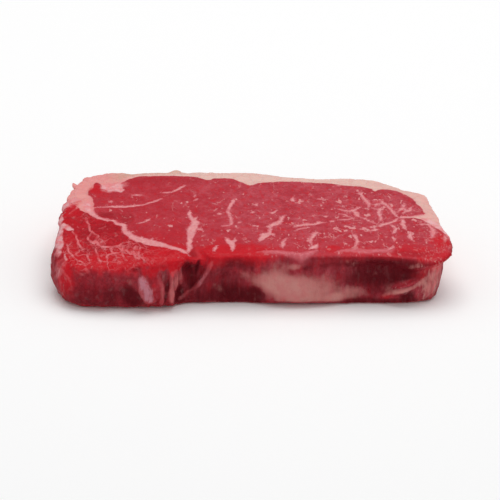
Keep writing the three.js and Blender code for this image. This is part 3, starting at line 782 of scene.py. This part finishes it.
def paint(obj, form):
    """Stores, at every vertex, where the fat, seams, threads and patches lie."""
    noise.seed_set(form.seed)
    place = vectors(obj.data.vertices, "co") / MM
    way = directions(obj.data, rounds=12)
    side = smooth(0.92, 0.55, np.abs(way[:, 2]))
    front = side * smooth(0.12, 0.5, -way[:, 1])
    up = 1 - side[:, None]

    # Lines and patches are looked up at places that wobble, so that none of their edges is even.
    soft = wobble("soft", place, form.seed) + wobble("small", place, form.seed) * (0.35 + 0.65 * up)
    drift = soft + wobble("fine", place, form.seed) * up
    x, y, z = (place + drift * 0.6).T
    # The pattern shifts a little on its way down, as muscles do.
    down = np.clip(TOP - place[:, 2:], 0, None) / TOP
    plan = place[:, :2] + drift[:, :2] * (0.55 + down) + down * np.array([1.6, -1.2])
    plan = plan + down * smooth(26, 8, place[:, 1:2]) * wobble("muscle", place, form.seed)[:, :2]
    upper = smooth(15, 20, z)
    corner = place[:, 0] + wobble("corner", place, form.seed)[:, 0]

    def shown(distance, hidden):
        """The distance, out of reach where the line is hidden."""
        return np.minimum(distance + FAR * hidden, FAR)

    # The thinnest seams are drawn wider, because their ragged edges wear them away. A strand has its
    # colour on the middle three quarters of its width.
    seam_lines = [[(a, b, r + 0.3 * max(0, 1 - r / 1.2)) for a, b, r in line] for line in SEAMS.values()]
    strand_lines = [[(p[0], p[1], p[3] * 0.75) for p in line] for line in STRANDS.values()]
    web, web_offset = offset_from_lines(place[:, :2] + soft[:, :2] * 0.5, WEB.values())
    lobe_line = [(-96, 2)] + [p[:2] for p in SEAMS["thick seam"]] + [(-27, -44)]
    layers = {
        "side": side,
        "front": front,
        "cap": distance_to_area(plan, CAP_LINE, BEHIND_CAP) + 3 * front,
        "seam": shown(distance_to_lines(plan, seam_lines, taper=3), front),
        "roll": shown(distance_to_lines(plan, ROLLS.values(), taper=5), 1 - upper),
        "web": shown(web, 1 - upper),
        "web_offset": web_offset,
        "strand": shown(distance_to_lines(np.stack([x, z], 1), strand_lines), 1 - front),
        "salmon": smooth(-31, -76, corner) + 0.4 * smooth(56, 92, corner),
        "lobe": smooth(2, -3, distance_to_area(plan, lobe_line, BELOW_LOBE)),
    }
    layers |= {kind: spot_strength(place + drift, rows) for kind, rows in SPOTS.items()}
    layers |= {kind: front * patch_strength(x, z, rows) for kind, rows in PATCHES.items()}

    # The wet edge over the front, with a ragged foot, the skin that lines add, and painted shade in the
    # creases and under the rim on the right.
    ends = wobble("rags", place * (1, 1, 0.2), form.seed)[:, 2] * along(x, EDGE_RAGS)
    foot = along(x, EDGE_FOOT)
    rim = along(x, EDGE_BRIGHT) * smooth(-29, -37, y) * smooth(foot - 3.5, foot + 3, z + ends)
    layers["fresh"] = 1 - (1 - layers["fresh"]) * (1 - rim) * (1 - layers.pop("rich"))
    fold = smooth(0.7, -0.5, distance_to_lines(plan, FOLDS.values(), taper=4))
    crease = smooth(1.0, -0.6, distance_to_lines(plan, CREASES.values(), taper=4))
    # Painted shade under the overhanging rim on the right of the front.
    shade_under_rim = front * smooth(20, 34, x) * smooth(25.5, 23, z) * smooth(17, 21, z)
    layers["skin"] = np.maximum(layers["skin"], fold * smooth(17, 22, z + ends * 1.6))
    layers["shade"] = np.maximum(layers["shade"], np.maximum(crease * upper, shade_under_rim) * 0.6)
    for name, values in layers.items():
        layer = obj.data.attributes.new(name, "FLOAT", "POINT")
        layer.data.foreach_set("value", np.ascontiguousarray(values, np.float32))


RELIEF_SIZES = (
    "bundle_size", "bundle_depth", "lobe_size", "lobe_depth", "fibre_size", "fibre_depth", "lump_size",
    "lump_depth", "fat_size", "fat_depth", "seam_depth", "cap_depth", "thread_height")


def label(name):
    return name.replace("_", " ").title()


def relief_tree():
    """Geometry nodes that raise bundles, fibres, lobules, seams and threads along the normals."""
    group = bpy.data.node_groups.new("Steak relief", "GeometryNodeTree")
    kinds = {"Geometry": "Geometry"} | {label(name): "Float" for name in RELIEF_SIZES}
    for name, kind in (kinds | {"Seed": "Float", "Material": "Material"}).items():
        group.interface.new_socket(name, in_out="INPUT", socket_type="NodeSocket" + kind)
    group.interface.new_socket("Geometry", in_out="OUTPUT", socket_type="NodeSocketGeometry")
    t = Tree(group)
    given = group.nodes.new("NodeGroupInput")
    put = {s.name: Socket(t, s) for s in given.outputs if s.name}
    (bundle_size, bundle_depth, lobe_size, lobe_depth, fibre_size, fibre_depth, lump_size, lump_depth,
     fat_size, fat_depth, seam_depth, cap_depth, thread_height) = [put[label(name)] for name in RELIEF_SIZES]

    def stored(names):
        return [t.node("GeometryNodeInputNamedAttribute", {"data_type": "FLOAT"}, {"Name": name})
                for name in names.split()]

    shift = t.node("ShaderNodeCombineXYZ", None, {0: put["Seed"] * 3.7 * MM})
    position = t.moved(t.node("GeometryNodeInputPosition"), shift)
    side, front, cap, seam, lobe, web, web_offset = stored("side front cap seam lobe web web_offset")
    roll, deep, film, pale, shade = stored("roll deep film pale shade")
    fat = cap.step(0.6, -0.8)
    lean = 1 - fat
    cut = 1 - side

    def swing(size, detail, squash=1.0, roughness=0.5):
        """Noise about nought in waves of a size, drawn out downwards where squash is below 1."""
        return t.swing(t.scaled(position, (1, 1, squash)), 1 / size, detail, roughness)

    def hollows(size, squash):
        """Rounded cells of a size: nought in the middle of each, rising to its edge."""
        return t.cells(t.scaled(position, (1, 1, squash)), 1 / size, "SMOOTH_F1")

    # Bundles: rounded cells, stretched down through the thickness, as the fibres run.
    bundles = 1 - hollows(bundle_size, 0.22)
    small = swing(bundle_size * 0.5, 2)
    height = (bundles - 0.5) * bundle_depth * lean + small * bundle_depth * 0.9
    height += swing(lump_size, 3) * lump_depth * lean * (1 + side)
    loose = t.cells(t.bent(position, 220, 1, 0.003), 1 / lobe_size, "DISTANCE_TO_EDGE")
    height += (loose.step(0, 0.35) - 0.7) * lobe_depth * lobe * lean * (1 - front * 0.6)

    # Fibres down the sides, and a few wider pleats.
    fibres = swing(fibre_size, 3, 0.13, 0.6)
    pleats = swing(fibre_size * 3.2, 2, 0.3)
    tough = 1 - (film * 0.4).most(pale * 0.6)
    height += (fibres + pleats * 1.3) * fibre_depth * side * lean * tough

    # Fat: soft lobules and a finer grain, drawn down the side by the knife.
    lobules = hollows(fat_size, 0.55)
    drawn = swing(fat_size * 0.5, 3, 0.3)
    grain = swing(fat_size * 0.18, 2)
    big = hollows(fat_size * 2.6, 0.8)
    dents = swing(fat_size * 1.6, 2)
    creases = abs(swing(fat_size * 2, 3, 0.6)).step(0.03, 0)
    fat_height = (0.45 - lobules) * 1.2 + drawn * 0.9 + grain * 0.35
    fat_height += (dents * 4 + (0.45 - big) * 2.4) * side
    fat_height -= creases * 0.5 * (0.4 + side * 0.6)
    height += fat_height * fat_depth * fat * (0.45 + side * 0.55)
    height -= cap.step(0.5, -1.6) * cap_depth * cut

    # Seams lie low between raised lips, threads and rolls stand up, and hollows go in.
    height -= seam.step(0.5, -0.6) * seam_depth
    height += seam.step(0, 1.2) * seam.step(2.6, 1.2) * seam_depth * 0.5
    height += abs(web_offset).step(1.6, 0) * web.step(1.4, 0.8) * thread_height * lean
    height += roll.step(1.6, -1) * thread_height * 2.2
    height -= deep * HOLLOW_DEPTH * MM * front
    height -= shade * SHADE_DEPTH * MM * cut

    way = t.node("GeometryNodeInputNormal")
    offset = t.node("ShaderNodeVectorMath", {"operation": "SCALE"}, {0: way, "Scale": height})
    raised = t.node("GeometryNodeSetPosition", None, {"Geometry": put["Geometry"], "Offset": offset})
    whole = t.node("GeometryNodeRealizeInstances", None, {"Geometry": raised})
    dressed = t.node("GeometryNodeSetMaterial", None, {"Geometry": whole, "Material": put["Material"]})
    t.node("NodeGroupOutput", None, {0: dressed}, None)
    return group


def raise_relief(obj, form, material):
    """Raises the fine relief by the node tree and makes the result plain."""
    modifier = obj.modifiers.new("Relief", "NODES")
    modifier.node_group = relief_tree()
    values = {label(name): getattr(form, name) for name in RELIEF_SIZES}
    values |= {"Seed": float(form.seed), "Material": material}
    for item in modifier.node_group.interface.items_tree:
        if item.in_out == "INPUT" and item.name in values:
            modifier[item.identifier] = values[item.name]
    plain(obj)


def settle(obj):
    """Lays the steak's lowest points flat on the floor, and makes it smooth."""
    co = vectors(obj.data.vertices, "co")
    co[:, 2] = np.maximum(co[:, 2], 0)
    obj.data.shade_smooth()
    put_vertices(obj.data, co)


def meat_material(colour):
    """Raw meat: lean, fresh lean, painted shade in the hollows and on the sides, marbling, seams, fat,
    silverskin and wet threads.
    """
    material = bpy.data.materials.new("raw meat")
    material.use_nodes = True
    material.node_tree.nodes.clear()
    t = Tree(material.node_tree)

    def stored(names):
        settings = [{"attribute_type": "GEOMETRY", "attribute_name": name} for name in names.split()]
        return [t.node("ShaderNodeAttribute", kind, None, "Fac") for kind in settings]

    def over(factor, below, name):
        return t.blend(factor, below, tuple(getattr(colour, name)))

    def between(factor, low, high):
        return over(factor, tuple(getattr(colour, low)), high)

    place = t.node("ShaderNodeTexCoord", None, None, "Object")
    down = t.scaled(place, (1, 1, 0.12))
    tall = t.scaled(place, (1, 0.6, 0.25))
    side, cap, seam, roll, web, web_offset = stored("side cap seam roll web web_offset")
    strand, lobe, salmon, deep, pale, film = stored("strand lobe salmon deep pale film")
    fresh, skin, shade = stored("fresh skin shade")
    x, y, z = [t.node("ShaderNodeSeparateXYZ", None, {"Vector": place}, axis) / MM for axis in "XYZ"]
    cut = 1 - side

    # Noise about nought, from broad waves to a fine grain, and two kinds drawn down the sides.
    broad, middle, fine = [t.swing(place, scale, 3) for scale in (75, 260, 650)]
    grain = t.swing(place, 1900, 2)
    fibres, streaks = [t.swing(down, scale, 3, 0.6) for scale in (900, 330)]
    ragged = fine * 1.9 + middle * 3.2 + grain * 0.4

    # Lean: bundles of fibres, each a little lighter or darker, richer towards the wide end. Both lean tints
    # are paler pink than the meat itself, a painted sheen of the wet top.
    tone = t.node("ShaderNodeSeparateColor", None, {"Color": t.cells(tall, 480, "F1", "Color")}, 0) - 0.5
    skins = t.cells(tall, 480, "DISTANCE_TO_EDGE").step(0.12, 0)
    patchy = (broad + middle + fine) * 1.5 + tone * 0.25 + 0.3 + skins * 0.14 + x.step(-50, 50) * 0.08
    lean = between(patchy.clamped(), "lean", "lean_pale")
    ruddy = t.swing(t.moved(tall, (0.31, 0.17, 0)), 480, 2)
    lean = over(ruddy.step(0, 0.2) * 0.42, lean, "fresh")
    richer = x.step(10, -48) * 0.42 + y.step(-8, -34) * 0.26
    lean = over(richer * (1 + middle * 0.8) * cut, lean, "rich")

    # The soft lobe of the wide end is wetter and redder, with furrows of painted shade.
    loose = (lobe * (0.9 + middle + broad * 0.6)).clamped() * (cut * 0.8 + 0.2)
    lean = over(loose, lean, "rich")
    furrow_shade = abs(t.swing(place, 190, 3, 0.6)).step(0.05, 0) * lobe
    lean = over(furrow_shade * 0.3, lean, "deep")

    # Fresh wet edges, then painted shade: in the creases and under the rim, over the sides and in the
    # hollows.
    drawn = streaks * side * (x.step(-58, -48) * 1.3 + 0.3)
    flow = 1.1 + broad * 1.8 + middle * 1.2 + fine * 0.8 + drawn
    fresh_mask = (fresh * flow).step(0.15, 1.1)
    lean = over(fresh_mask * 0.85, lean, "fresh")
    lean = over(fresh_mask * (middle.step(-0.08, 0.12) * 0.4 + streaks.step(0, 0.2) * 0.2), lean, "rich")
    shaded = (shade * (1 + middle * 1.6)).clamped()
    lean = over(shaded * 0.42, over(shaded * 0.6, lean, "rich"), "deep")
    # Painted shade over the sides of the lean.
    side_shade = (side * (0.62 + streaks * (x.step(-62, -46) * 1.1 + 0.7))).clamped() * (1 - fresh_mask)
    lean = over(side_shade * 0.72, lean, "deep")
    lean = over((deep * (1 + streaks * 0.8)).step(0.1, 0.9) * 0.92, lean, "deep")

    # Marbling: soft irregular flecks and broken veins, thicker towards the narrow end.
    away = (1 - side * 0.95) * (1 - lobe * 0.7) * (1 - fresh_mask * 0.85)
    amount = x.step(-5, 50) * 0.05 + broad * 0.2 - y.step(8, 24) * 0.02
    flecks = (t.noise(t.moved(tall, (0.07, 0.43, 0)), 380, 1.5) + amount).step(0.69, 0.75)
    specks = (t.noise(t.moved(tall, (0.57, 0.13, 0)), 620, 1) + amount).step(0.7, 0.8) * 0.5
    veins = abs(t.swing(tall, 150, 3, 0.6)).step(0.018, 0.002)
    veins *= (t.noise(t.moved(place, (0.2, 0, 0)), 190, 2) + amount).step(0.56, 0.63)
    marbled = flecks.most(specks).most(veins * 0.7) * away
    shown = over(marbled * 0.72, lean, "marbling")

    # Loose threads between the bundles of the lobe, and fine pale wisps over its front that are a painted
    # wet sheen.
    bent = t.bent(place, 260, 2, 0.004)
    net = lobe * (x.step(-42, -52) * 0.8 + 0.2)
    loops = t.cells(bent, 210, "DISTANCE_TO_EDGE").step(0.085, 0.02)
    loops *= (t.noise(t.moved(place, (0.1, 0.3, 0)), 150, 2) + y.step(-18, -34) * 0.16).step(0.58, 0.66)
    loops *= net * (cut * 0.8 + z.step(14, 20) * 0.2)
    # Wisps: a fine pale net of painted wet sheen; they also get some coat and bump.
    sheen_wisps = abs(t.swing(bent, 340, 2)).step(0.05, 0.005) * t.noise(place, 210, 2).step(0.44, 0.56)
    sheen_wisps *= net * y.step(-14, -32) * z.step(17, 22)
    shown = over((loops * 0.5).most(sheen_wisps * 0.3), shown, "thread")

    # Front: the pale pad, pale strands and silverskin.
    drawn = streaks * 0.8 + middle * 0.9 + fibres * x.step(68, 76) * 2.2
    pale_mask = (pale + drawn * (1.2 - pale)).step(0.17, 0.9)
    shown = t.blend(pale_mask * 0.95, shown, between(middle.step(-0.15, 0.2) * 0.35, "pad", "lean_pale"))
    strand_mask = (strand + ragged * 0.5).step(0.5, -0.3) * (0.35 + streaks.step(-0.2, 0.2) * 0.65)
    shown = over(strand_mask * 0.36, shown, "thread")
    film_mask = (film * (1.1 + fibres * 3.2 + streaks * 1.4 + middle * 1.6)).step(0.3, 1.1)
    shown = over(film_mask * 0.64, shown, "film")

    # Seams send short twigs into the lean; the rolls of the edge are softer, and threads are thin.
    twigs = abs(t.swing(place, 230, 2)).step(0.03, 0) * seam.step(2.4, 0.3)
    edge = seam + ragged * 0.42 - twigs * 0.6
    seam_mask = edge.step(0.35, -0.15)
    core = edge.step(-0.02, -0.82)
    pink = between((core * 0.8 + (fine + middle) * 1.4).clamped(), "seam", "marbling")
    shown = t.blend(seam_mask * (0.84 + core * 0.14), shown, pink)
    roll_mask = (roll + ragged * 0.6).step(0.9, -0.9)
    shown = over(roll_mask * (0.55 + fine.step(-0.1, 0.15) * 0.35), shown, "seam")
    web_mask = (abs(web_offset) + fine * 0.8).step(1.25, 0.45) * web.step(1.3, 0.7)
    web_mask *= 0.3 + middle.step(-0.08, 0.06) * 0.7
    shown = over(web_mask * 0.8, shown, "thread")

    # Fat cap: cream, salmon at the wide corner, with veins, smears and a stained outer edge.
    cap_mask = (cap + ragged * 0.35 * (1 - side * 0.5)).step(0.35, -0.35)
    mixed = (salmon * 1.1 + (broad * 1.6 + middle * 0.7) * (salmon * 0.6 + 0.25)).clamped()
    fat = between(mixed, "cap", "salmon")
    lobules = t.cells(t.scaled(bent, (1, 1, 0.6)), 190, "DISTANCE_TO_EDGE").step(0.1, 0)
    fat = over(lobules * 0.16 * (1 + middle), fat, "seam")
    fat = over(fine.step(0, 0.2) * 0.16, fat, "veil")
    fat = over(streaks.step(0.02, 0.24) * 0.35 * (side * 0.6 + 0.4), fat, "salmon")
    blood = t.swing(t.scaled(place, (1, 1, 0.6)), 140, 4, 0.7)
    soft_blood = t.swing(t.scaled(place, (1, 1, 0.4)), 70, 2)
    smears = abs(blood).step(0.03, 0) * soft_blood.step(-0.05, 0.15) * 0.16 * (0.3 + side)
    smears += blood.step(0.06, 0.22) * 0.24 * (salmon + side * 0.6)
    smears += soft_blood.step(0, 0.25) * 0.14 * side
    fat = over(smears, fat, "fresh")
    bloody = (fresh * (0.6 + fine * 2.2 + middle * 2.4)).step(0.1, 0.75)
    fat = over(bloody * 0.75, fat, "fresh")
    fat = over(cap.step(-1.4, 0.2) * 0.3 * (0.9 + middle), fat, "seam")
    stained = x.step(-66, -52) * x.step(-18, -40) * z.step(17, 24) * cap.step(-1, -4.5)
    stained *= 0.4 + middle.step(-0.2, 0.2) * 0.4
    waxy = broad.step(0.04, 0.18) * 0.16 * side
    fat = over(stained.most(waxy * (1 - salmon * 0.6)), fat, "stain")
    shown = t.blend(cap_mask, shown, fat)

    # Thin pale skin over both, drawn out in threads.
    skin_mask = (skin * (1 + middle * 1.4 + fine * 0.8 + streaks * 0.6 * side)).step(0.15, 0.95)
    veil = between(middle.step(-0.1, 0.1) * 0.8 + skin * 0.2, "thread", "veil")
    shown = t.blend(skin_mask * 0.8, shown, veil)

    # Gloss: wet lean, duller fat, and small beads of juice.
    juice = t.noise(place, 420, 3).step(0.56, 0.66)
    rough = colour.gloss + cap_mask * 0.16 + side * 0.1 - juice * 0.14 - fresh_mask * 0.05 + fine * 0.25
    coat = juice * (0.4 + lobe * 0.4) + web_mask * 0.3 + loops * 0.2 + sheen_wisps * 0.3 + fresh_mask * 0.06
    coat = coat * (1 - cap_mask * 0.5) + colour.wet * cut

    lift = 0.4 + fine * 0.6 + grain * 0.2 + tone * 0.15 - skins * 0.1
    lift *= 0.6 + lobe * 0.6 + side * 0.4
    lift += marbled * 0.15 + seam_mask * 0.25 + web_mask * 0.7 + loops * 0.4 + sheen_wisps * 0.5
    lift = lift * (1 - cap_mask * 0.6) + (fibres + 0.5) * side * 1.2
    lift += (blood * 0.7 + fine * 0.5 + 0.6 - lobules * 0.3) * cap_mask
    bumped = t.node("ShaderNodeBump", None, {"Strength": 0.7, "Distance": 0.5 * MM, "Height": lift})
    shader = t.node("ShaderNodeBsdfPrincipled", None, {
        "Base Color": shown, "Roughness": rough.clamped(0.14, 0.9), "IOR": 1.38, "Specular IOR Level": 0.07,
        "Subsurface Weight": 0.12, "Subsurface Radius": (1.0, 0.35, 0.25), "Subsurface Scale": 2 * MM,
        "Coat Weight": coat.clamped(), "Coat Roughness": 0.16, "Coat IOR": 1.33, "Normal": bumped})
    t.node("ShaderNodeOutputMaterial", None, {"Surface": shader}, None)
    return material


class STEAK_OT_make_steak(bpy.types.Operator):
    """Makes the finished steak over its solid"""

    bl_idname = "steak.make_steak"
    bl_label = "Make Steak"
    bl_options = {"REGISTER", "UNDO"}

    def execute(self, context):
        form = context.scene.steak_form
        obj = merged_solid()
        add_strands(obj)
        even_skin(obj, form.voxel)
        raise_overhang(obj, form)
        paint(obj, form)
        raise_relief(obj, form, meat_material(context.scene.steak_colour))
        settle(obj)
        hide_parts(SOLID)
        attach(obj, BODY)
        return {"FINISHED"}


# ---------- the studio ----------
FLOOR_HALF = 4.0  # metres from the middle to each edge
FLOOR_ROUGHNESS = 0.7
LIGHTS = {"key": ((1.6, 1.2), (0.1, 0.35, 1.5)), "back": ((1.8, 0.7), (-0.2, 1.6, 0.8))}  # size, place
CAMERA_PLACE = (-0.130327, -1.549362, 0.755575)
CAMERA_AZIMUTH = 4.849  # degrees to the right of +Y
CAMERA_DOWN = 25.708
CAMERA_ROLL = 2.082
CAMERA_SENSOR = 36
CAMERA_LENS = 273.6


def aim_camera():
    azimuth, down, roll = (math.radians(a) for a in (CAMERA_AZIMUTH, CAMERA_DOWN, CAMERA_ROLL))
    ahead = Vector((math.sin(azimuth) * math.cos(down), math.cos(azimuth) * math.cos(down), -math.sin(down)))
    right = ahead.cross(Vector((0, 0, 1))).normalized()
    up = right.cross(ahead)
    axes = (right * math.cos(roll) + up * math.sin(roll),
            up * math.cos(roll) - right * math.sin(roll),
            -ahead)
    data = bpy.data.cameras.new("camera")
    data.sensor_width = CAMERA_SENSOR
    data.lens = CAMERA_LENS
    data.clip_start = 0.1
    data.clip_end = 10
    camera = add_object("camera", data)
    camera.matrix_world = Matrix.Translation(CAMERA_PLACE) @ Matrix(axes).transposed().to_4x4()
    bpy.context.scene.camera = camera


def soft_light(name, watts, size, place):
    """A square lamp that faces the middle of the steak's base."""
    data = bpy.data.lights.new(name, "AREA")
    data.shape = "RECTANGLE"
    data.size, data.size_y = size
    data.energy = watts
    toward = -Vector(place)
    turned = toward.to_track_quat("-Z", "Y").to_matrix().to_4x4()
    add_object(name, data).matrix_world = Matrix.Translation(place) @ turned


def lay_floor(tint_of_floor):
    mesh = bpy.data.meshes.new("floor")
    ring = [(-1, -1), (1, -1), (1, 1), (-1, 1)]
    mesh.from_pydata([(a * FLOOR_HALF, b * FLOOR_HALF, 0) for a, b in ring], [], [(0, 1, 2, 3)])
    material = bpy.data.materials.new("pale floor")
    material.use_nodes = True
    shader = material.node_tree.nodes["Principled BSDF"]
    shader.inputs["Base Color"].default_value = (*tint_of_floor, 1)
    shader.inputs["Roughness"].default_value = FLOOR_ROUGHNESS
    mesh.materials.append(material)
    return add_object("floor", mesh)


def studio_world(fill):
    """Soft light from all round, dimmer low down behind, so that the upper face is not hazy."""
    world = bpy.data.worlds.new("studio")
    world.use_nodes = True
    t = Tree(world.node_tree)
    way = t.node("ShaderNodeTexCoord", None, None, "Generated")
    behind, high = [t.node("ShaderNodeSeparateXYZ", None, {0: way}, axis) for axis in "YZ"]
    strength = (behind - high * 1.2).step(0.5, -0.2) * 0.8 + 0.2
    background = world.node_tree.nodes["Background"]
    background.inputs["Color"].default_value = (1, 1, 1, 1)
    world.node_tree.links.new((strength * fill).output, background.inputs["Strength"])
    return world


class STEAK_OT_make_stage(bpy.types.Operator):
    """Makes the floor, the lights and the camera"""

    bl_idname = "steak.make_stage"
    bl_label = "Make Stage"
    bl_options = {"REGISTER", "UNDO"}

    def execute(self, context):
        look = context.scene.stage_look
        floor = lay_floor(look.floor)
        context.scene.world = studio_world(look.fill)
        for name, (size, place) in LIGHTS.items():
            soft_light(name, getattr(look, name), size, place)
        aim_camera()
        context.scene.view_settings.view_transform = "Standard"
        return {"FINISHED"}


class STEAK_PT_panel(bpy.types.Panel):
    """Lists what this file makes, and what can be changed in it"""

    bl_idname = "STEAK_PT_panel"
    bl_label = "Raw Sirloin Steak"
    bl_space_type = "VIEW_3D"
    bl_region_type = "UI"
    bl_category = "Steak"

    def draw(self, context):
        for group, operator in ((context.scene.steak_form, None),
                                (context.scene.steak_colour, STEAK_OT_make_steak),
                                (context.scene.stage_look, STEAK_OT_make_stage)):
            column = self.layout.column(align=True)
            for name in group.__annotations__:
                column.prop(group, name)
            if operator:
                self.layout.operator(operator.bl_idname)


CLASSES = (SteakForm, SteakColour, StageLook, STEAK_OT_make_steak, STEAK_OT_make_stage, STEAK_PT_panel)


def register():
    for cls in CLASSES:
        bpy.utils.register_class(cls)
    bpy.types.Scene.steak_form = PointerProperty(type=SteakForm)
    bpy.types.Scene.steak_colour = PointerProperty(type=SteakColour)
    bpy.types.Scene.stage_look = PointerProperty(type=StageLook)


def unregister():
    del bpy.types.Scene.stage_look
    del bpy.types.Scene.steak_colour
    del bpy.types.Scene.steak_form
    for cls in reversed(CLASSES):
        bpy.utils.unregister_class(cls)


def main():
    register()
    bpy.ops.steak.make_steak()
    bpy.ops.steak.make_stage()


if __name__ == "__main__":
    main()
